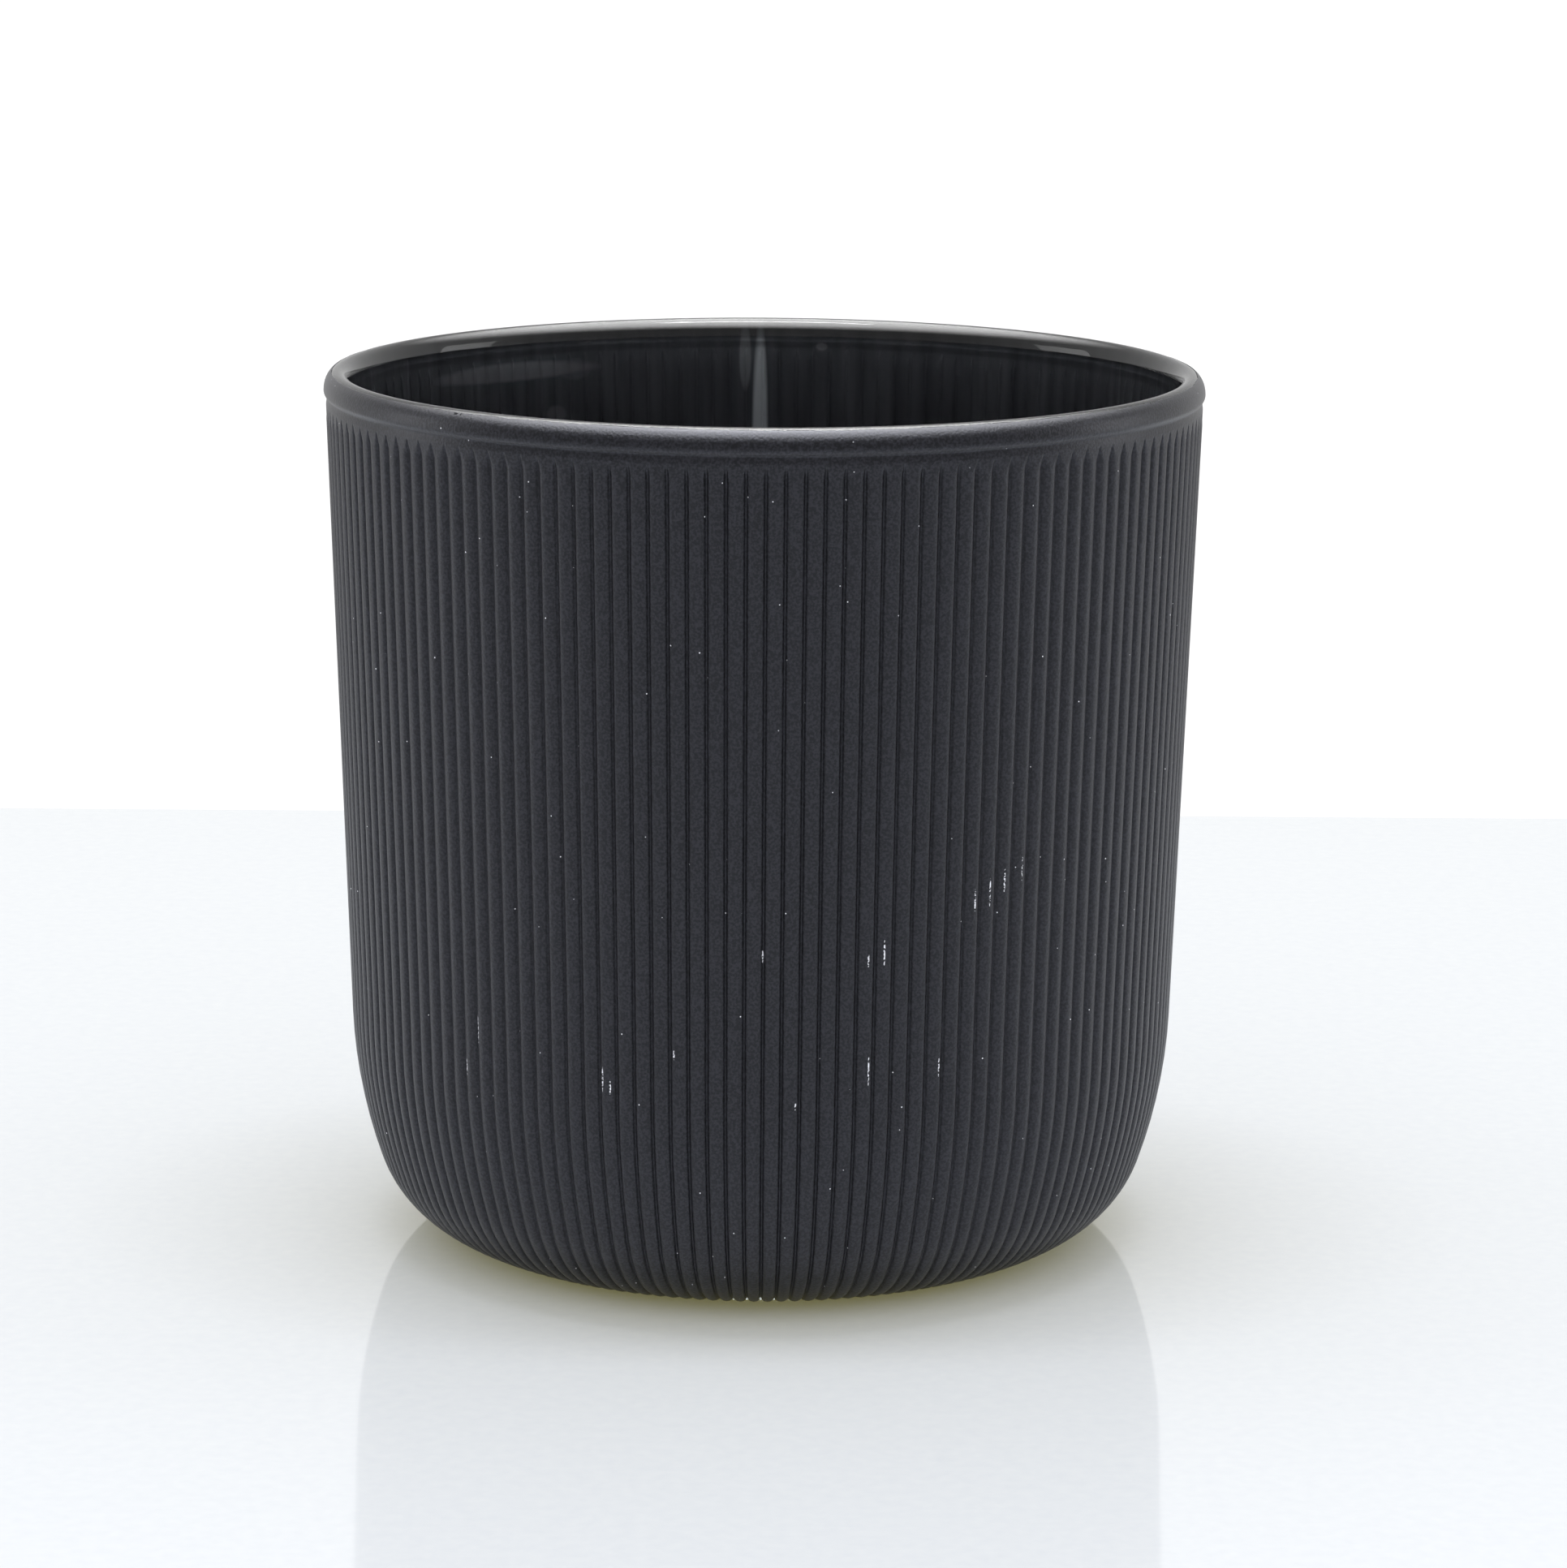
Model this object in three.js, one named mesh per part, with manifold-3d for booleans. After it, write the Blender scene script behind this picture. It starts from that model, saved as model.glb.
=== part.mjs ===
// Empty candle jar: a pressed clear-glass tumbler with fine upright ribs outside and a smooth
// bore, lacquered black on the outside only. Millimetres, +Z up. The origin is the centre of the
// ring that the jar stands on.

import * as THREE from 'three';
import { mergeGeometries, mergeVertices } from 'three/addons/utils/BufferGeometryUtils.js';
import Module from 'manifold-3d';

const wasm = await Module();
wasm.setup();

// Driving dimensions.
const rimDiameter = 90;          // over the lacquered lip bead
const jarHeight = 90;            // standing ring to the crown of the lip
const lipWall = 2.6;             // thickness of the glass lip, which is a full round
const beadProud = 0.2;           // how far the lip bead stands out past the rib crests
const ribCount = 148;
const ribDepth = 0.3;            // crest to groove, square to the wall
const ribStart = 3.7;            // crown of the lip down to where the grooves begin
const ribRunIn = 1.3;            // height over which a groove reaches its full depth
const wallLean = 1.9;            // degrees that the ribbed wall leans in towards the base
const shoulderRadius = 52;       // long, slow bend below the straight wall
const shoulderEnd = 19;          // degrees of lean where the long bend meets the heel
const heelRadius = 12;           // tight bend under the jar
const standWidth = 3;            // flat ring that meets the table
const pushUpStep = 0.8;          // height of the recess just inside the standing ring
const pushUpBevel = 1.2;         // width of the bevel up to that height
const pushUpDepth = 1.4;         // height of the recess at the centre
const wallAtShoulder = 3.4;      // glass thickness where the straight wall ends
const floorThickness = 8;        // table to the inside floor
const insideCorner = 18;         // radius between the inside wall and the floor
const lacquerThickness = 0.25;   // thicker than the real film, so that it is a sound solid
const lacquerGap = 0.05;         // between the lacquer and the glass
const lacquerTop = 50;           // degrees above the bead's widest line where the lacquer stops
const lacquerFootRise = 0.12;    // table to the lower edge of the lacquer on the heel

// How finely the curves are cut into facets.
const ribColumns = 2;            // one column on each crest and one in each groove
const heelSteps = 3;
const shoulderSteps = 2;
const smoothColumns = ribCount / 2;  // round the inside and the recess under the base
const cornerSteps = 4;
const lipSteps = 2;
const domeSteps = 2;
const cutClearance = 1;          // how far a cutting solid reaches past the face that it cuts

const radians = THREE.MathUtils.degToRad;

// A ring of the outside, as a point of the profile. lean is the angle of its outward normal below
// the horizontal, and rib is the share of the full groove depth there.
function ring(r, z, lean, rib) {
  return { r, z, lean, rib };
}

function arcRings(centre, radius, fromLean, toLean, steps, rib) {
  return Array.from({ length: steps + 1 }, (_, i) => {
    const lean = THREE.MathUtils.lerp(fromLean, toLean, i / steps);
    const r = centre.x + radius * Math.cos(radians(lean));
    const z = centre.y - radius * Math.sin(radians(lean));
    return ring(r, z, lean, rib);
  });
}

// Centre of the arc that leaves a point square to its lean.
function arcCentre(r, z, lean, radius) {
  return new THREE.Vector2(r - radius * Math.cos(radians(lean)), z + radius * Math.sin(radians(lean)));
}

// The glass's outside, measured to the rib crests, from the standing ring up to the lip's crown.
const glassRimRadius = rimDiameter / 2 - lacquerThickness - lacquerGap;
const lipRadius = lipWall / 2;
const lipCentre = new THREE.Vector2(glassRimRadius - lipRadius, jarHeight - lipRadius);
const crestRadius = glassRimRadius - beadProud;
const ribStartHeight = jarHeight - ribStart;
const shoulderRise = Math.sin(radians(shoulderEnd)) - Math.sin(radians(wallLean));
const shoulderHeight = shoulderRadius * shoulderRise + heelRadius * (1 - Math.sin(radians(shoulderEnd)));
const shoulderTop = crestRadius - (ribStartHeight - shoulderHeight) * Math.tan(radians(wallLean));
const shoulderCentre = arcCentre(shoulderTop, shoulderHeight, wallLean, shoulderRadius);
const heelInset = (shoulderRadius - heelRadius) * Math.cos(radians(shoulderEnd));
const heelCentre = new THREE.Vector2(shoulderCentre.x + heelInset, heelRadius);

// Lean on the heel where the lacquer's outer face comes down to its lower edge.
const lacquerFaceRadius = heelRadius + lacquerGap + lacquerThickness;
const lacquerFoot = THREE.MathUtils.radToDeg(Math.asin((heelRadius - lacquerFootRise) / lacquerFaceRadius));

function crestAt(z) {
  return crestRadius - (ribStartHeight - z) * Math.tan(radians(wallLean));
}

const fullRibHeight = ribStartHeight - ribRunIn;
const standRing = arcRings(heelCentre, heelRadius, 90, 90, 1, 0).slice(1);
const lacqueredRings = [
  ...arcRings(heelCentre, heelRadius, lacquerFoot, shoulderEnd, heelSteps, 1),
  ...arcRings(shoulderCentre, shoulderRadius, shoulderEnd, wallLean, shoulderSteps, 1).slice(1),
  ring(crestAt(fullRibHeight), fullRibHeight, wallLean, 1),
  ring(crestRadius, ribStartHeight, wallLean, 0),
  ...arcRings(lipCentre, lipRadius, 0, -lacquerTop, 1, 0),
];
const crownRing = arcRings(lipCentre, lipRadius, -90, -90, 1, 0).slice(1);

// Turns a profile about Z. Each profile point may name a groove, by which the odd columns of the
// ribbed surface move along that point's normal.
function turned(points, columns, grooves = []) {
  const geometry = new THREE.LatheGeometry(points, columns);
  const position = geometry.attributes.position;
  for (let i = 0; i < position.count; i += 1) {
    const column = Math.floor(i / points.length);
    const groove = grooves[i % points.length];
    if (groove && column % ribColumns !== 0) {
      const turn = (column / columns) * 2 * Math.PI;
      position.setX(i, position.getX(i) + groove.x * Math.sin(turn));
      position.setY(i, position.getY(i) + groove.y);
      position.setZ(i, position.getZ(i) + groove.x * Math.cos(turn));
    }
  }
  geometry.rotateX(Math.PI / 2);
  return geometry;
}

// The ring's profile point, moved out from the crest line by offset along its normal.
function offsetPoint(at, offset) {
  const lean = radians(at.lean);
  return new THREE.Vector2(at.r + offset * Math.cos(lean), at.z - offset * Math.sin(lean));
}

function grooveOf(at) {
  const depth = at.rib * ribDepth;
  const lean = radians(at.lean);
  return new THREE.Vector2(-depth * Math.cos(lean), depth * Math.sin(lean));
}

// A closed solid for joining and cutting. Triangles that shrink to a line on the axis are left out.
function solidOf(geometry) {
  const bare = geometry.clone();
  bare.deleteAttribute('normal');
  bare.deleteAttribute('uv');
  const merged = mergeVertices(bare);
  const corners = merged.index.array;
  const triangles = [];
  for (let i = 0; i < corners.length; i += 3) {
    const [a, b, c] = [corners[i], corners[i + 1], corners[i + 2]];
    if (a !== b && b !== c && c !== a) {
      triangles.push(a, b, c);
    }
  }
  return new wasm.Manifold(new wasm.Mesh({
    numProp: 3,
    vertProperties: new Float32Array(merged.attributes.position.array),
    triVerts: new Uint32Array(triangles),
  }));
}

function geometryOf(solid) {
  const mesh = solid.getMesh();
  const geometry = new THREE.BufferGeometry();
  geometry.setAttribute('position', new THREE.BufferAttribute(mesh.vertProperties, mesh.numProp));
  geometry.setIndex(new THREE.BufferAttribute(mesh.triVerts, 1));
  geometry.computeVertexNormals();
  return geometry;
}

// A ribbed skin through the rings, its surface moved out from the crest line by offset.
function ribbedSkin(rings, offset) {
  const points = rings.map((at) => offsetPoint(at, offset));
  return turned(points, ribCount * ribColumns, rings.map(grooveOf));
}

// The closed edge that joins the two faces of a film at one ring.
function filmEdge(at, fromOffset, toOffset) {
  const points = [offsetPoint(at, fromOffset), offsetPoint(at, toOffset)];
  return turned(points, ribCount * ribColumns, [grooveOf(at), grooveOf(at)]);
}

// The same skin seen from its other side.
function flipped(geometry) {
  const corners = geometry.index.array;
  for (let i = 0; i < corners.length; i += 3) {
    [corners[i + 1], corners[i + 2]] = [corners[i + 2], corners[i + 1]];
  }
  return geometry;
}

// The ribbed outside as one full solid, with no hollow yet.
function ribbedBlank() {
  const rings = [...standRing, ...lacqueredRings, ...crownRing];
  const points = rings.map((at) => offsetPoint(at, 0));
  points.unshift(new THREE.Vector2(0, 0));
  points.push(new THREE.Vector2(0, jarHeight));
  return turned(points, ribCount * ribColumns, [null, ...rings.map(grooveOf), null]);
}

// The space that the wax and wick would fill: floor, round corner, straight wall and the lip's
// inner half, and on up past the crown.
function hollow() {
  const openingRadius = lipCentre.x - lipRadius;
  const insideShoulder = shoulderTop - wallAtShoulder;
  const insideLean = Math.atan((openingRadius - insideShoulder) / (lipCentre.y - shoulderHeight));
  const cornerHeight = floorThickness + insideCorner;
  const wallFoot = cornerHeight - insideCorner * Math.sin(insideLean);
  const wallFootRadius = openingRadius - (lipCentre.y - wallFoot) * Math.tan(insideLean);
  const cornerCentre = wallFootRadius - insideCorner * Math.cos(insideLean);
  const points = [new THREE.Vector2(0, floorThickness)];
  for (let i = 0; i <= cornerSteps; i += 1) {
    const lean = THREE.MathUtils.lerp(Math.PI / 2, insideLean, i / cornerSteps);
    const r = cornerCentre + insideCorner * Math.cos(lean);
    points.push(new THREE.Vector2(r, cornerHeight - insideCorner * Math.sin(lean)));
  }
  for (let i = 0; i <= lipSteps; i += 1) {
    const turn = THREE.MathUtils.lerp(Math.PI, Math.PI / 2, i / lipSteps);
    const r = lipCentre.x + lipRadius * Math.cos(turn);
    points.push(new THREE.Vector2(r, lipCentre.y + lipRadius * Math.sin(turn)));
  }
  points.push(new THREE.Vector2(lipCentre.x, jarHeight + cutClearance));
  points.push(new THREE.Vector2(0, jarHeight + cutClearance));
  return turned(points, smoothColumns);
}

// The shallow recess inside the standing ring: a bevel, then a low dome.
const recessRadius = heelCentre.x - standWidth;
const domeRadius = recessRadius - pushUpBevel;

function domePoints(drop) {
  return Array.from({ length: domeSteps + 1 }, (_, i) => {
    const share = 1 - i / domeSteps;
    const z = pushUpStep + (pushUpDepth - pushUpStep) * (1 - share * share);
    return new THREE.Vector2(domeRadius * share, z - drop);
  });
}

function recess() {
  const points = [
    new THREE.Vector2(0, -cutClearance),
    new THREE.Vector2(recessRadius, -cutClearance),
    new THREE.Vector2(recessRadius, 0),
    ...domePoints(0),
  ];
  return turned(points, smoothColumns);
}

// Pressed soda-lime glass, in one piece: ribs, lip, wall, floor and standing ring.
function glassVessel() {
  const glass = solidOf(ribbedBlank()).subtract(solidOf(hollow())).subtract(solidOf(recess()));
  const material = new THREE.MeshStandardMaterial({
    color: 0xdfe7e4, roughness: 0.04, metalness: 0, transparent: true, opacity: 0.35,
  });
  const mesh = new THREE.Mesh(geometryOf(glass), material);
  mesh.name = 'glass_vessel';
  return mesh;
}

function lacquer() {
  return new THREE.MeshStandardMaterial({ color: 0x2b2c31, roughness: 0.55, metalness: 0 });
}

// Sprayed film on the ribs and the lip's outer half, following each rib and groove.
function outerCoating() {
  const [inner, outer] = [lacquerGap, lacquerGap + lacquerThickness];
  const faces = mergeGeometries([
    ribbedSkin(lacqueredRings, outer),
    flipped(ribbedSkin(lacqueredRings, inner)),
    filmEdge(lacqueredRings[0], inner, outer),
    filmEdge(lacqueredRings.at(-1), outer, inner),
  ]);
  const mesh = new THREE.Mesh(faces, lacquer());
  mesh.name = 'outer_coating';
  return mesh;
}

// Sprayed film in the recess, parted from the outer film by the bare standing ring.
function baseCoating() {
  const underside = domePoints(0).reverse();
  const topside = domePoints(-lacquerThickness);
  const mesh = new THREE.Mesh(turned([...underside, ...topside], smoothColumns), lacquer());
  mesh.name = 'base_coating';
  mesh.position.z = -lacquerGap - lacquerThickness;
  return mesh;
}

const candleJar = new THREE.Group();
candleJar.add(glassVessel(), outerCoating(), baseCoating());

export default candleJar;
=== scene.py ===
import math
from collections import namedtuple

import bpy
import numpy as np
from mathutils import Matrix, Vector


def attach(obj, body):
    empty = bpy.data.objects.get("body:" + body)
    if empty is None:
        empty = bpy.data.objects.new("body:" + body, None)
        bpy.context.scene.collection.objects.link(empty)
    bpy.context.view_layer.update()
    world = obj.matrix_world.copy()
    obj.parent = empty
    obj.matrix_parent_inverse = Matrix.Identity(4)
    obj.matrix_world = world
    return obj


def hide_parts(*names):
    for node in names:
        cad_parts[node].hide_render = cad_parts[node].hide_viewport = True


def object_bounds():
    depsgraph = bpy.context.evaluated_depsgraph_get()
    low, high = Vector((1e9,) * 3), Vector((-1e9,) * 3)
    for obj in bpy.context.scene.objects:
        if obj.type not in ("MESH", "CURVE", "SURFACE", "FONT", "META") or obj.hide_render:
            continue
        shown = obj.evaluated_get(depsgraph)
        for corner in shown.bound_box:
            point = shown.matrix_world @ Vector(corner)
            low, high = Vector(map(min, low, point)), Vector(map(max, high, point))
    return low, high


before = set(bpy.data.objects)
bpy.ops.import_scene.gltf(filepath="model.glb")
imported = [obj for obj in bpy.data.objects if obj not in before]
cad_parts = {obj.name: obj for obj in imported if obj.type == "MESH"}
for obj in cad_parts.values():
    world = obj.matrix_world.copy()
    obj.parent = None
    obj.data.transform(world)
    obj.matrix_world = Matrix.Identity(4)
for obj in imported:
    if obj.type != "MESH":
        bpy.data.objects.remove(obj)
cad_low, cad_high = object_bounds()

# Glass vessel. A tumbler pressed in one piece from clear soda-lime glass: a ribbed mould shapes the
# outside, a plunger the smooth bore, and a flame rounds the lip. It stands on a flat ring round a
# shallow recess.
MM = 0.001
film_thickness = 0.06 * MM
glass_rim_radius = cad_high.x - film_thickness
jar_height = cad_high.z
lip_wall = 2.8 * MM
lip_drop = 1.95 * MM  # crown of the lip down to the bead's widest line
lip_centre = (glass_rim_radius - lip_wall / 2, jar_height - lip_drop)

# The ribs have broad rounded crests and narrow grooves. A rib's shape is given on its half from a
# groove, at 0, to its crest, at 1.
rib_count = 148
rib_height = 0.44 * MM
crest_share = 0.92
crest_roundness = 2
first_groove = 0.2  # where the first groove is, as a share of a rib round from the front
half_rib_places = np.array([0, 0.08, 0.16, 0.3, 0.55, 1])
rib_columns = rib_count * (2 * len(half_rib_places) - 2)
plain_columns = rib_count * 2


def rib_profile():
    """Places across one rib, as shares of its width from a groove, and the depth at each."""
    half = half_rib_places
    from_crest = np.minimum((1 - half) / crest_share, 1)
    depths = rib_height * (1 - (1 - from_crest**crest_roundness) ** (1 / crest_roundness))
    places = np.concatenate([half, 2 - half[-2:0:-1]]) / 2
    return places, np.concatenate([depths, depths[-2:0:-1]])


places_across, depths_across = rib_profile()
rib_turns = ((np.arange(rib_count)[:, None] + places_across + first_groove) / rib_count).ravel()
rib_angles = rib_turns * 2 * np.pi
rib_depths = np.tile(depths_across, rib_count)

# A ring goes once round the jar at one height. lean is the angle of its outward normal below the
# horizontal, and merge how far crests and grooves have closed on the plain band, or None if smooth.
Ring = namedtuple("Ring", "r z lean merge columns")


def plain_ring(r, z, lean=0.0, columns=plain_columns):
    """A ring where the surface is plain."""
    return Ring(r, z, lean, None, columns)


def steps(start, end, count):
    """The values after start, up to and with end."""
    return [start + (end - start) * (i + 1) / count for i in range(count)]


def arc(centre, radius, leans, merge=0.0):
    """Ribbed rings along an arc of the outside."""
    r0, z0 = centre
    return [
        Ring(r0 + radius * math.cos(lean), z0 - radius * math.sin(lean), lean, merge, rib_columns)
        for lean in leans
    ]


# The ribbed wall leans in straight, then bends slowly at the shoulder and tightly at the heel.
bead_proud = 0.2 * MM  # the bead's widest line, beyond the ribs' crests
rib_top = 3.45 * MM  # crown of the lip down to the tips of the ribs
rib_end = 1.6 * MM  # height over which a rib runs out
wall_lean = math.radians(1.9)
shoulder_radius = 52 * MM
shoulder_end = math.radians(19)
heel_radius = 12 * MM
film_foot = math.radians(84)  # lean of the heel at the lacquer's lower edge
under_heel = math.radians(87)  # a ring on the bare glass below the lacquer
heel_rings = 11
shoulder_rings = 7
wall_rings = 3
rib_end_rings = 9

crest_radius = glass_rim_radius - bead_proud
rib_top_height = jar_height - rib_top
shoulder_rise = math.sin(shoulder_end) - math.sin(wall_lean)
shoulder_height = shoulder_radius * shoulder_rise + heel_radius * (1 - math.sin(shoulder_end))
shoulder_top = crest_radius - (rib_top_height - shoulder_height) * math.tan(wall_lean)
shoulder_centre = (
    shoulder_top - shoulder_radius * math.cos(wall_lean),
    shoulder_height + shoulder_radius * math.sin(wall_lean),
)
heel_centre = (
    shoulder_centre[0] + (shoulder_radius - heel_radius) * math.cos(shoulder_end),
    heel_radius,
)


def crest_at(z):
    """Radius of the crests on the straight wall."""
    return crest_radius - (rib_top_height - z) * math.tan(wall_lean)


def ribbed_wall():
    """Rings from the heel's foot to where the ribs have run out, measured to the crests."""
    flat = math.pi / 2
    rings = arc(heel_centre, heel_radius, [flat, under_heel], merge=rib_height)
    rings += arc(heel_centre, heel_radius, [film_foot], merge=rib_height / 2)
    rings += arc(heel_centre, heel_radius, steps(film_foot, shoulder_end, heel_rings))
    rings += arc(shoulder_centre, shoulder_radius, steps(shoulder_end, wall_lean, shoulder_rings))
    full_rib_height = rib_top_height - rib_end
    for z in steps(shoulder_height, full_rib_height, wall_rings):
        rings.append(Ring(crest_at(z), z, wall_lean, 0.0, rib_columns))
    for share in steps(0, 1, rib_end_rings):
        z = full_rib_height + rib_end * share
        rings.append(Ring(crest_at(z), z, wall_lean, rib_height * share**2, rib_columns))
    return rings


# Above the ribs a plain band curves in to a shallow neck, and the bead swells out over it.
band_drop = 0.04 * MM  # the plain band, in from the crests
neck_drop = 2.6 * MM  # crown of the lip down to the neck
neck_depth = 0.1 * MM
bead_curve = 2.2
cove_rings = 6
bead_rings = 7
crown_rings = 9


def smooth_rise(x):
    """A smooth step from 0 to 1."""
    x = min(max(x, 0.0), 1.0)
    return x * x * (3 - 2 * x)


def lip_outside():
    """Rings of the plain band, its cove up to the neck, and the bead up to the crown."""
    band_radius = crest_radius - band_drop
    neck_radius = band_radius - neck_depth
    neck_height = jar_height - neck_drop
    rings = []
    for share in steps(0, 1, cove_rings):
        z = rib_top_height + (neck_height - rib_top_height) * share
        r = band_radius - neck_depth * smooth_rise(share)
        rings.append(plain_ring(r, z, 0.0, rib_columns))
    for share in steps(0, 1, bead_rings):
        z = neck_height + (lip_centre[1] - neck_height) * share
        r = glass_rim_radius - (glass_rim_radius - neck_radius) * (1 - share) ** bead_curve
        rings.append(plain_ring(r, z, 0.0, rib_columns))
    for lean in steps(0, -math.pi / 2, crown_rings):
        r = lip_centre[0] + lip_wall / 2 * math.cos(lean)
        z = lip_centre[1] - lip_drop * math.sin(lean)
        rings.append(plain_ring(r, z, lean, rib_columns))
    return rings


# The bore is smooth from the crown to a thick floor with a round corner.
wall_at_shoulder = 3.4 * MM
floor_thickness = 8 * MM
inside_corner = 18 * MM
rim_rings = 10
bore_wall_rings = 12
corner_rings = 16
floor_rings = 6
innermost_share = 0.1


def bore_rings():
    """From the crown down the bore, round its corner and across the floor."""
    opening_radius = lip_centre[0] - lip_wall / 2
    inside_shoulder = shoulder_top - wall_at_shoulder
    lean = math.atan((opening_radius - inside_shoulder) / (lip_centre[1] - shoulder_height))
    corner_height = floor_thickness + inside_corner
    foot = corner_height - inside_corner * math.sin(lean)
    foot_radius = opening_radius - (lip_centre[1] - foot) * math.tan(lean)
    corner_radius = foot_radius - inside_corner * math.cos(lean)
    rings = []
    for turn in steps(math.pi / 2, math.pi, rim_rings):
        r = lip_centre[0] + lip_wall / 2 * math.cos(turn)
        rings.append(plain_ring(r, lip_centre[1] + lip_drop * math.sin(turn)))
    for z in steps(lip_centre[1], foot, bore_wall_rings):
        rings.append(plain_ring(opening_radius - (lip_centre[1] - z) * math.tan(lean), z))
    for turn in steps(lean, math.pi / 2, corner_rings):
        r = corner_radius + inside_corner * math.cos(turn)
        rings.append(plain_ring(r, corner_height - inside_corner * math.sin(turn)))
    for share in steps(1, innermost_share, floor_rings):
        rings.append(plain_ring(corner_radius * share, floor_thickness))
    return rings


# Inside the standing ring a bevel rises to the low dome of the recess.
stand_width = 3 * MM
recess_step = 0.8 * MM
recess_bevel = 1.2 * MM
recess_depth = 1.4 * MM
glass_recess_rings = 30
stand_inner = heel_centre[0] - stand_width
dome_radius = stand_inner - recess_bevel


def recess_height(r):
    """Height of the recess above the table."""
    if r > dome_radius:
        return recess_step * smooth_rise((dome_radius + recess_bevel - r) / recess_bevel)
    return recess_step + (recess_depth - recess_step) * (1 - (r / dome_radius) ** 2)


def recess_rings(to_radius, count, drop=0.0):
    """Rings from the middle out to a radius, lowered by drop."""
    return [plain_ring(r, recess_height(r) - drop) for r in steps(0, to_radius, count)]


def loop(ring, offset=0.0):
    """The ring's points, moved out by offset and in by the ribs' depth at each."""
    turn = rib_angles
    if ring.columns != rib_columns:
        turn = (np.arange(ring.columns) / ring.columns + first_groove / rib_count) * 2 * np.pi
    if ring.merge is None:
        out = np.full(ring.columns, offset)
    else:
        toward_band = np.clip(band_drop - rib_depths, -ring.merge, ring.merge)
        out = offset - rib_depths - toward_band
    r = ring.r + out * math.cos(ring.lean)
    z = ring.z - out * math.sin(ring.lean)
    return np.column_stack([r * np.sin(turn), -r * np.cos(turn), z])


def skin_faces(loops, closed=False):
    """Faces between each loop and the next, which may have a whole number of times its points."""
    starts = np.cumsum([0] + [len(points) for points in loops])
    pairs = list(zip(range(len(loops) - 1), range(1, len(loops))))
    if closed:
        pairs.append((len(loops) - 1, 0))
    faces = []
    for below, above in pairs:
        counts = len(loops[below]), len(loops[above])
        share = min(counts)
        for i in range(share):
            sides = []
            for at, count in zip((below, above), counts):
                each = count // share
                corners = range(i * each, (i + 1) * each + 1) if count > 1 else [0]
                sides.append([int(starts[at]) + c % count for c in corners])
            face = sides[0] + sides[1][::-1]
            faces.append(list(dict.fromkeys(face)))
    return faces


def turned_piece(name, loops, closed=False):
    """A smooth piece skinned over loops. A closed one joins its last loop to its first."""
    mesh = bpy.data.meshes.new(name)
    faces = skin_faces(loops, closed)
    mesh.from_pydata(np.concatenate(loops).tolist(), [], faces)
    mesh.polygons.foreach_set("use_smooth", [True] * len(faces))
    mesh.update()
    piece = bpy.data.objects.new(name, mesh)
    bpy.context.scene.collection.objects.link(piece)
    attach(piece, "root")
    return piece


underside = [np.array([[0, 0, recess_height(0)]])]
underside += [loop(ring) for ring in recess_rings(stand_inner, glass_recess_rings)]
outside = [loop(ring) for ring in ribbed_wall() + lip_outside()]
bore = [loop(ring) for ring in bore_rings()]
floor_centre = [np.array([[0, 0, floor_thickness]])]
glass = turned_piece("glass_vessel_fine", underside + outside + bore + floor_centre)
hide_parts("glass_vessel")


def linear(hex_colour):
    """An sRGB hex value as a linear colour with full alpha."""
    values = [int(hex_colour[i : i + 2], 16) / 255 for i in (1, 3, 5)]
    return (*[v / 12.92 if v <= 0.04045 else ((v + 0.055) / 1.055) ** 2.4 for v in values], 1.0)


def add_node(tree, kind, settings=None, **links):
    """Adds a node. Settings name its properties or its sockets by name or number, and each link
    gives an input socket, with underscores for spaces or _N for its number, and what feeds it."""
    node = tree.nodes.new(kind)
    for key, value in (settings or {}).items():
        if isinstance(key, int) or key in node.inputs:
            node.inputs[key].default_value = value
        else:
            setattr(node, key, value)
    for key, source in links.items():
        socket = int(key[1:]) if key[1:].isdigit() else key.replace("_", " ")
        tree.links.new(source, node.inputs[socket])
    return node


def new_material(name):
    material = bpy.data.materials.new(name)
    material.use_nodes = True
    material.node_tree.nodes.clear()
    return material, material.node_tree


# Pressed soda-lime glass, fire-polished: clear with a breath of green, mirror-smooth, with the slow
# ripple that a plunger leaves in the bore.
glass_material, tree = new_material("pressed_soda_lime_glass")
ripple_width = 6 * MM
ripple_depth = 0.05 * MM
place = add_node(tree, "ShaderNodeTexCoord")
ripple = add_node(
    tree,
    "ShaderNodeTexNoise",
    {"Scale": 1 / ripple_width, "Detail": 2.0},
    Vector=place.outputs["Object"],
)
ripple_bump = add_node(
    tree,
    "ShaderNodeBump",
    {"Strength": 0.15, "Distance": ripple_depth},
    Height=ripple.outputs["Fac"],
)
glass_shader = add_node(
    tree,
    "ShaderNodeBsdfPrincipled",
    {
        "Base Color": linear("#f3faf6"),
        "Roughness": 0.0,
        "IOR": 1.52,
        "Transmission Weight": 1.0,
    },
    Normal=ripple_bump.outputs["Normal"],
)
add_node(tree, "ShaderNodeOutputMaterial", Surface=glass_shader.outputs["BSDF"])
glass.data.materials.append(glass_material)

# Outer lacquer film. A satin black spray lacquer, baked on the outside of the glass while the jar
# hangs mouth down: it follows every rib, and its mist thins to a ragged edge over the lip's crown.
film_contact = 0.01 * MM  # how far the film's inner face is let into the glass, so no air shows
film_edge = math.radians(63)  # slope of the crown where the film ends
film_edge_ragged = math.radians(4)
edge_waves = (7, 19, 43, 97, 211, 367, 503)
edge_fading = 0.3  # how fast the shorter waves weaken
edge_seed = 5


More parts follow.
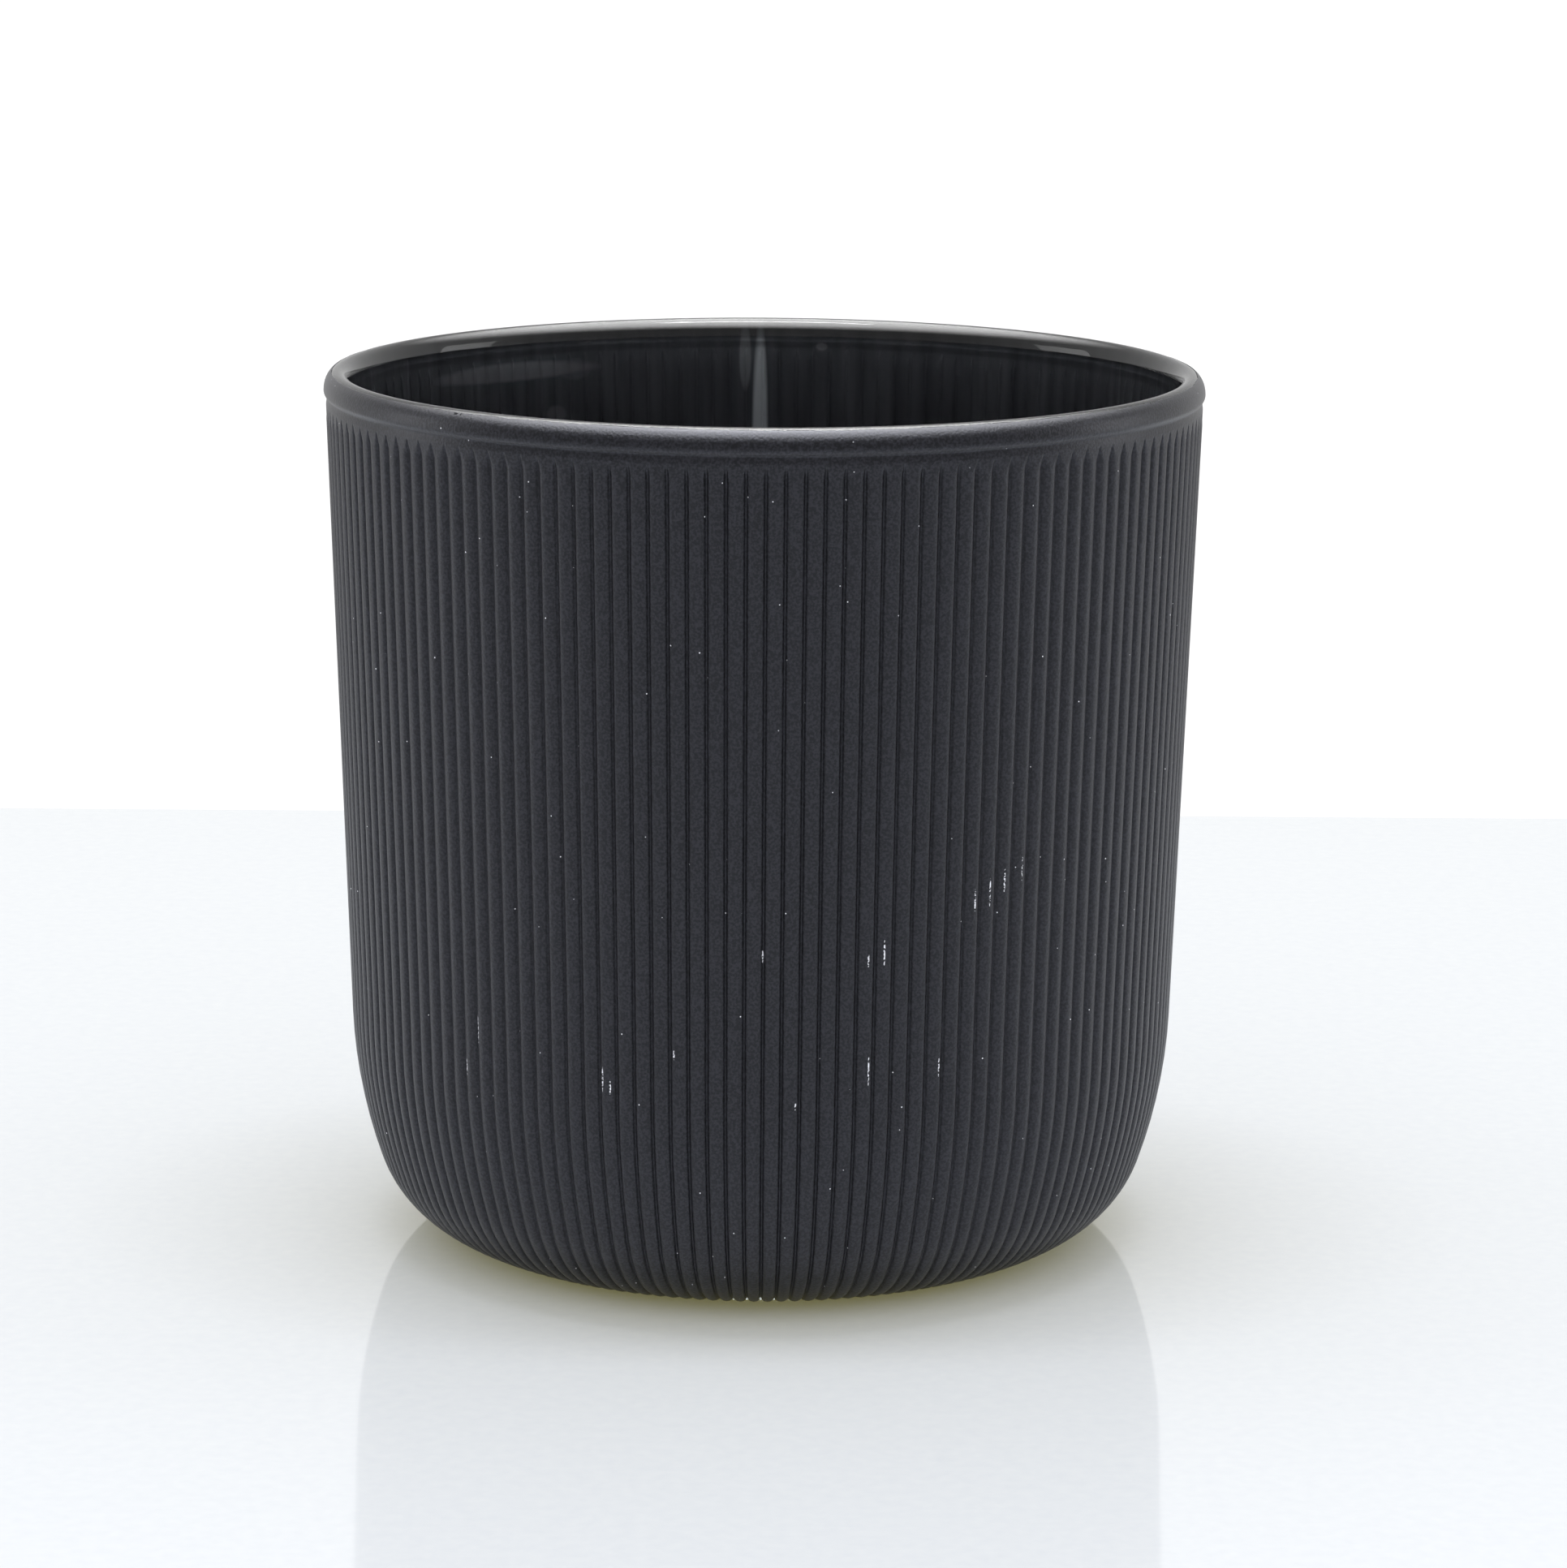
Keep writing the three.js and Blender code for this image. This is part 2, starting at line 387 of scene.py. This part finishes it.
def edge_noise():
    """A repeatable ragged line round the lip, between -1 and 1."""
    random = np.random.default_rng(edge_seed)
    line = np.zeros(len(rib_angles))
    for waves in edge_waves:
        height = random.normal()
        line += height * np.cos(waves * rib_angles + random.uniform(0, 2 * np.pi)) / waves**edge_fading
    return line / np.abs(line).max()


def film_face(offset):
    """Loops of one face of the film from the heel's foot to the ragged edge by the crown."""
    wall = [ring for ring in ribbed_wall() if ring.lean <= film_foot]
    band = [ring for ring in lip_outside() if ring.lean > -film_edge]
    loops = [loop(ring, offset) for ring in wall + band]
    lean = -film_edge - film_edge_ragged * edge_noise()
    r = lip_centre[0] + (lip_wall / 2 + offset) * np.cos(lean)
    z = lip_centre[1] - (lip_drop + offset) * np.sin(lean)
    loops.append(np.column_stack([r * np.sin(rib_angles), -r * np.cos(rib_angles), z]))
    return loops


film_outside = film_face(film_thickness)
film_inside = film_face(-film_contact)
film = turned_piece("outer_lacquer_film", film_outside + film_inside[::-1], closed=True)
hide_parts("outer_coating")
seen_from_outside = 0
seen_through_glass = 1
first_inside_point = len(film_outside) * rib_columns
film.data.polygons.foreach_set(
    "material_index",
    [
        seen_through_glass if min(face.vertices) >= first_inside_point else seen_from_outside
        for face in film.data.polygons
    ],
)

# Satin black spray lacquer: blue-black with a soft sheen from its dry-spray grain, glossier on the
# flame-polished bead, with settled dust, and pale broken scuffs where the crests were knocked.
# Real grain is about 0.05 mm, too fine to show, and is drawn at five times that.
lacquer_material, tree = new_material("sprayed_satin_lacquer")
grain_width = 0.25 * MM
grain_depth = 0.04 * MM
dust_spacing = 2.0 * MM
dust_radius = 0.065 * MM
wall_roughness = 0.38
bead_roughness = 0.3
bead_gloss_drop = 4 * MM  # crown of the lip down to where the wall's full roughness begins
scuff_half_width = math.radians(0.11)
whole_up_to = 0.46  # in a scuff, the grain value up to which the lacquer stays whole
broken_from = 0.55

# For each scuff, degrees round from the front, and its height and length in millimetres.
scuffs = [
    (28.8, 43.1, 2.4),
    (31.0, 43.8, 2.9),
    (33.2, 44.8, 2.6),
    (36.0, 45.7, 2.4),
    (14.1, 38.3, 1.9),
    (16.2, 38.7, 2.6),
    (14.4, 26.9, 3.0),
    (-20.9, 25.5, 2.6),
    (-19.8, 24.7, 1.6),
    (24.2, 26.7, 2.0),
    (-40.5, 28.4, 3.2),
    (-42.7, 24.3, 1.8),
    (0.4, 38.6, 1.2),
    (-11.1, 28.5, 1.0),
    (4.8, 23.5, 1.0),
    (63.5, 45.6, 1.2),
]


def unroll(tree, axes, side):
    """The wall laid flat: the angle from the front, for side -1, or the back, for 1, and height."""
    depth = add_node(
        tree, "ShaderNodeMath", {"operation": "MULTIPLY", 1: side}, _0=axes.outputs["Y"]
    )
    angle = add_node(
        tree,
        "ShaderNodeMath",
        {"operation": "ARCTAN2"},
        _0=axes.outputs["X"],
        _1=depth.outputs[0],
    )
    flat = add_node(tree, "ShaderNodeCombineXYZ", X=angle.outputs[0], Y=axes.outputs["Z"])
    return flat.outputs[0]


def mark_distance(tree, flat, centre, half_size):
    """Distance from the middle of a mark on the flat wall, which is 1 at the edge of its oval."""
    offset = add_node(
        tree, "ShaderNodeVectorMath", {"operation": "SUBTRACT", 1: (*centre, 0.0)}, _0=flat
    )
    scale = (1 / half_size[0], 1 / half_size[1], 0.0)
    scaled = add_node(
        tree, "ShaderNodeVectorMath", {"operation": "MULTIPLY", 1: scale}, _0=offset.outputs[0]
    )
    length = add_node(
        tree, "ShaderNodeVectorMath", {"operation": "LENGTH"}, _0=scaled.outputs[0]
    )
    return length.outputs["Value"]


place = add_node(tree, "ShaderNodeTexCoord")
grain = add_node(
    tree,
    "ShaderNodeTexNoise",
    {"Scale": 1 / grain_width, "Detail": 3.0},
    Vector=place.outputs["Object"],
)
tone = add_node(tree, "ShaderNodeValToRGB", Fac=grain.outputs["Fac"])
tone_steps = ((0.42, "#020203"), (0.6, "#1f1f24"))
for element, (position, colour) in zip(tone.color_ramp.elements, tone_steps):
    element.position = position
    element.color = linear(colour)
dust = add_node(
    tree,
    "ShaderNodeTexVoronoi",
    {"Scale": 1 / dust_spacing, "Randomness": 1.0},
    Vector=place.outputs["Object"],
)
marks = add_node(
    tree,
    "ShaderNodeMath",
    {"operation": "LESS_THAN", 1: dust_radius / dust_spacing},
    _0=dust.outputs["Distance"],
)
axes = add_node(tree, "ShaderNodeSeparateXYZ", Vector=place.outputs["Object"])
front_flat = unroll(tree, axes, -1.0)
for degrees, height_mm, length_mm in scuffs:
    centre = (math.radians(degrees), height_mm * MM)
    distance = mark_distance(tree, front_flat, centre, (scuff_half_width, length_mm * MM / 2))
    inside = add_node(tree, "ShaderNodeMath", {"operation": "LESS_THAN", 1: 1.0}, _0=distance)
    broken = add_node(
        tree,
        "ShaderNodeMath",
        {"operation": "MULTIPLY"},
        _0=inside.outputs[0],
        _1=grain.outputs["Fac"],
    )
    marks = add_node(
        tree,
        "ShaderNodeMath",
        {"operation": "MAXIMUM"},
        _0=marks.outputs[0],
        _1=broken.outputs[0],
    )
marked = add_node(
    tree,
    "ShaderNodeMapRange",
    {"From Min": whole_up_to, "From Max": broken_from, "To Max": 1.0},
    Value=marks.outputs[0],
)
marked_colour = add_node(
    tree,
    "ShaderNodeMix",
    {"data_type": "RGBA", 7: linear("#e8e8ee")},
    _0=marked.outputs["Result"],
    _6=tone.outputs["Color"],
)
sheen = add_node(
    tree,
    "ShaderNodeMapRange",
    {
        "From Min": jar_height - bead_gloss_drop,
        "From Max": jar_height - neck_drop,
        "To Min": wall_roughness,
        "To Max": bead_roughness,
    },
    Value=axes.outputs["Z"],
)
grain_bump = add_node(
    tree, "ShaderNodeBump", {"Strength": 0.8, "Distance": grain_depth}, Height=grain.outputs["Fac"]
)
lacquer_shader = add_node(
    tree,
    "ShaderNodeBsdfPrincipled",
    {"IOR": 1.5, "Specular IOR Level": 0.42, "Specular Tint": linear("#f2f4ff")},
    Base_Color=marked_colour.outputs[2],
    Roughness=sheen.outputs["Result"],
    Normal=grain_bump.outputs["Normal"],
)
add_node(tree, "ShaderNodeOutputMaterial", Surface=lacquer_shader.outputs["BSDF"])
film.data.materials.append(lacquer_material)

# The same lacquer where it grips the glass: no air between them, so it has no shine of its own. Runs
# down the wall where the spray went on wetter, and a few painted light patches near the lip: pale
# painted light on the far inner wall, with a long upright streak at the back.
bonded_material, tree = new_material("lacquer_bonded_to_glass")
run_width = math.radians(2.5)
run_length = 30 * MM
run_strength = 0.08
light_patch_full = 0.6  # share of a spot that is fully pale
light_patch_faded = 1.2

# For each painted light patch, degrees round from the back, its middle's drop below the crown in
# millimetres, its width in degrees, its length in millimetres, and how far it is toward the pale colour.
painted_light_patches = [
    (-0.9, 13.0, 2.4, 24.0, 0.4),
    (-3.1, 4.5, 2.0, 8.0, 0.14),
    (-40.0, 5.0, 34.0, 2.4, 0.1),
    (-29.0, 5.2, 7.0, 3.0, 0.06),
    (-32.0, 10.0, 4.0, 2.4, 0.08),
    (8.0, 3.2, 2.0, 1.0, 0.12),
]
place = add_node(tree, "ShaderNodeTexCoord")
axes = add_node(tree, "ShaderNodeSeparateXYZ", Vector=place.outputs["Object"])
back_flat = unroll(tree, axes, 1.0)
run_scale = (1 / run_width, 1 / run_length, 0.0)
run_place = add_node(
    tree, "ShaderNodeVectorMath", {"operation": "MULTIPLY", 1: run_scale}, _0=back_flat
)
runs = add_node(
    tree, "ShaderNodeTexNoise", {"Scale": 1.0, "Detail": 2.0}, Vector=run_place.outputs[0]
)
runs_and_light_patches = add_node(
    tree, "ShaderNodeMath", {"operation": "MULTIPLY", 1: run_strength}, _0=runs.outputs["Fac"]
)
# Each painted light patch pales the lacquer where the studio's light falls on the far inner wall.
for degrees, drop_mm, width_degrees, length_mm, strength in painted_light_patches:
    centre = (math.radians(degrees), jar_height - drop_mm * MM)
    half_size = (math.radians(width_degrees) / 2, length_mm * MM / 2)
    light_patch = add_node(
        tree,
        "ShaderNodeMapRange",
        {
            "From Min": light_patch_faded,
            "From Max": light_patch_full,
            "To Max": strength,
            "interpolation_type": "SMOOTHSTEP",
        },
        Value=mark_distance(tree, back_flat, centre, half_size),
    )
    runs_and_light_patches = add_node(
        tree,
        "ShaderNodeMath",
        {"operation": "MAXIMUM"},
        _0=runs_and_light_patches.outputs[0],
        _1=light_patch.outputs[0],
    )
# The pale colour serves both the spray runs and the painted light patches.
bonded_tone = add_node(
    tree,
    "ShaderNodeMix",
    {"data_type": "RGBA", 6: linear("#19191d"), 7: linear("#a8a8b0")},
    _0=runs_and_light_patches.outputs[0],
)
bonded_shader = add_node(
    tree,
    "ShaderNodeBsdfPrincipled",
    {"Roughness": 0.9, "Specular IOR Level": 0.0},
    Base_Color=bonded_tone.outputs[2],
)
add_node(tree, "ShaderNodeOutputMaterial", Surface=bonded_shader.outputs["BSDF"])
film.data.materials.append(bonded_material)

# Base lacquer film. The same spray, caught in the recess under the jar. The standing ring between
# the two films is bare glass.
base_film_rings = 20
base_above = recess_rings(dome_radius, base_film_rings, -film_contact)
base_below = recess_rings(dome_radius, base_film_rings, film_thickness)
base_loops = [np.array([[0, 0, recess_height(0) - film_thickness]])]
base_loops += [loop(ring) for ring in base_below]
base_loops += [loop(ring) for ring in reversed(base_above)]
base_loops += [np.array([[0, 0, recess_height(0) + film_contact]])]
base_film = turned_piece("base_lacquer_film", base_loops)
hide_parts("base_coating")
base_film.data.materials.append(lacquer_material)
base_film.data.materials.append(bonded_material)
base_film.data.polygons.foreach_set(
    "material_index",
    [
        seen_through_glass if face.center.z > recess_height(face.center.xy.length) else seen_from_outside
        for face in base_film.data.polygons
    ],
)

# Table top. A pale laminate board that ends a little behind the jar. It lies a hair under the jar's
# foot, so that the two faces don't cross.
table_front = -0.9
table_back = 0.2
table_half_width = 0.9
table_gap = 0.02 * MM
table_mesh = bpy.data.meshes.new("table_top")
table_corners = [
    (-table_half_width, table_front, -table_gap),
    (table_half_width, table_front, -table_gap),
    (table_half_width, table_back, -table_gap),
    (-table_half_width, table_back, -table_gap),
]
table_mesh.from_pydata(table_corners, [], [(0, 1, 2, 3)])
table = bpy.data.objects.new("table_top", table_mesh)
bpy.context.scene.collection.objects.link(table)

# Pale melamine laminate, pressed smooth: faintly flecked, with a clear soft reflection. The weak olive
# emission is a painted glow: the board shines faintly though it is no lamp, and only the deep shadow
# shows it, as the olive tint of the contact shadow.
table_material, tree = new_material("pale_laminate")
fleck_width = 1.5 * MM
place = add_node(tree, "ShaderNodeTexCoord")
fleck = add_node(
    tree,
    "ShaderNodeTexNoise",
    {"Scale": 1 / fleck_width, "Detail": 2.0},
    Vector=place.outputs["Object"],
)
table_tone = add_node(
    tree,
    "ShaderNodeMix",
    {"data_type": "RGBA", 6: linear("#d8deee"), 7: linear("#e2e7f4")},
    _0=fleck.outputs["Fac"],
)
table_shader = add_node(
    tree,
    "ShaderNodeBsdfPrincipled",
    {
        "Roughness": 0.06,
        # Painted glow: an olive emission that tints the contact shadow under the jar.
        "Emission Color": linear("#625e37"),
        "Emission Strength": 1.0,
        "IOR": 1.5,
    },
    Base_Color=table_tone.outputs[2],
)
add_node(tree, "ShaderNodeOutputMaterial", Surface=table_shader.outputs["BSDF"])
table.data.materials.append(table_material)

# Studio light. A white light tent, dimmer behind the camera, with a bright ceiling that the lip
# mirrors. What it shows as a backdrop, how it lights the surfaces and what it gives a reflection are
# set apart. A long soft box hangs overhead, and a weak window stands at each side.
backdrop_white = 1.1
tent_light = 0.95
mirrored_front = 0.35
mirrored_back = 0.7
mirrored_ceiling = 10.0

# As a direction's share toward the back, where the tent starts to brighten and where it is full,
# and as its share upward, where the ceiling starts.
dim_up_to = -0.7
bright_from = 0.3
ceiling_from = 0.5
overhead_place = (0.0, -0.02, 1.0)
overhead_size = (0.5, 0.1)
overhead_watts = 2.6
window_reach = 0.8
window_behind = 0.12
window_height = 0.16
window_size = (0.3, 0.4)
window_watts = 0.5
scene = bpy.context.scene
scene.world = bpy.data.worlds.new("white_studio")
scene.world.use_nodes = True
# Sampling the world as a lamp would mix what is set apart here.
scene.world.cycles.sampling_method = "NONE"
tree = scene.world.node_tree
tree.nodes.clear()
direction = add_node(tree, "ShaderNodeTexCoord")
split = add_node(tree, "ShaderNodeSeparateXYZ", Vector=direction.outputs["Generated"])
dome = add_node(
    tree,
    "ShaderNodeMapRange",
    {
        "From Min": dim_up_to,
        "From Max": bright_from,
        "To Min": mirrored_front,
        "To Max": mirrored_back,
        "interpolation_type": "SMOOTHSTEP",
    },
    Value=split.outputs["Y"],
)
ceiling = add_node(
    tree,
    "ShaderNodeMapRange",
    {
        "From Min": ceiling_from,
        "From Max": 1.0,
        "To Max": mirrored_ceiling,
        "interpolation_type": "SMOOTHSTEP",
    },
    Value=split.outputs["Z"],
)
path = add_node(tree, "ShaderNodeLightPath")
mirrored = add_node(
    tree,
    "ShaderNodeMath",
    {"operation": "MULTIPLY_ADD"},
    _0=ceiling.outputs["Result"],
    _1=path.outputs["Is Glossy Ray"],
    _2=dome.outputs["Result"],
)
lighting = add_node(
    tree,
    "ShaderNodeMix",
    {"data_type": "FLOAT", 3: tent_light},
    _0=path.outputs["Is Diffuse Ray"],
    _2=mirrored.outputs["Value"],
)
seen = add_node(
    tree,
    "ShaderNodeMix",
    {"data_type": "FLOAT", 3: backdrop_white},
    _0=path.outputs["Is Camera Ray"],
    _2=lighting.outputs[0],
)
backdrop = add_node(
    tree, "ShaderNodeBackground", {"Color": linear("#ffffff")}, Strength=seen.outputs[0]
)
add_node(tree, "ShaderNodeOutputWorld", Surface=backdrop.outputs["Background"])


def soft_box(name, place, size, watts):
    """A white rectangular lamp that faces the middle of the jar."""
    light = bpy.data.lights.new(name, "AREA")
    light.shape = "RECTANGLE"
    light.size, light.size_y = size
    light.energy = watts
    lamp = bpy.data.objects.new(name, light)
    lamp.location = place
    lamp.rotation_mode = "QUATERNION"
    middle = Vector((0, 0, jar_height / 2))
    lamp.rotation_quaternion = (middle - Vector(place)).to_track_quat("-Z", "Y")
    scene.collection.objects.link(lamp)


soft_box("overhead_box", overhead_place, overhead_size, overhead_watts)
for name, side in (("left_window", -1), ("right_window", 1)):
    window_place = (window_reach * side, window_behind, window_height)
    soft_box(name, window_place, window_size, window_watts)

# Camera. A long lens on a tripod, looking down on the jar from about an arm's length, with the jar
# a little to the left of the middle and the tripod's slight roll.
camera_distance = 540 * MM
camera_pitch = math.radians(11.93)
camera_roll = math.radians(0.39)
lens_mm = 119.2
sensor_mm = 36
nearest_drawn = 50 * MM
aim_right = 2.2 * MM
aim_up = 1.55 * MM
camera_aim = Vector((aim_right, 0, jar_height / 2 + aim_up))
toward_camera = Vector((0, -math.cos(camera_pitch), math.sin(camera_pitch)))
lens = bpy.data.cameras.new("camera")
lens.lens = lens_mm
lens.sensor_width = sensor_mm
lens.clip_start = nearest_drawn
camera = bpy.data.objects.new("camera", lens)
facing = (-toward_camera).to_track_quat("-Z", "Y").to_matrix().to_4x4()
facing = facing @ Matrix.Rotation(camera_roll, 4, "Z")
camera.matrix_world = Matrix.Translation(camera_aim + toward_camera * camera_distance) @ facing
scene.collection.objects.link(camera)
scene.camera = camera
scene.view_settings.view_transform = "Standard"
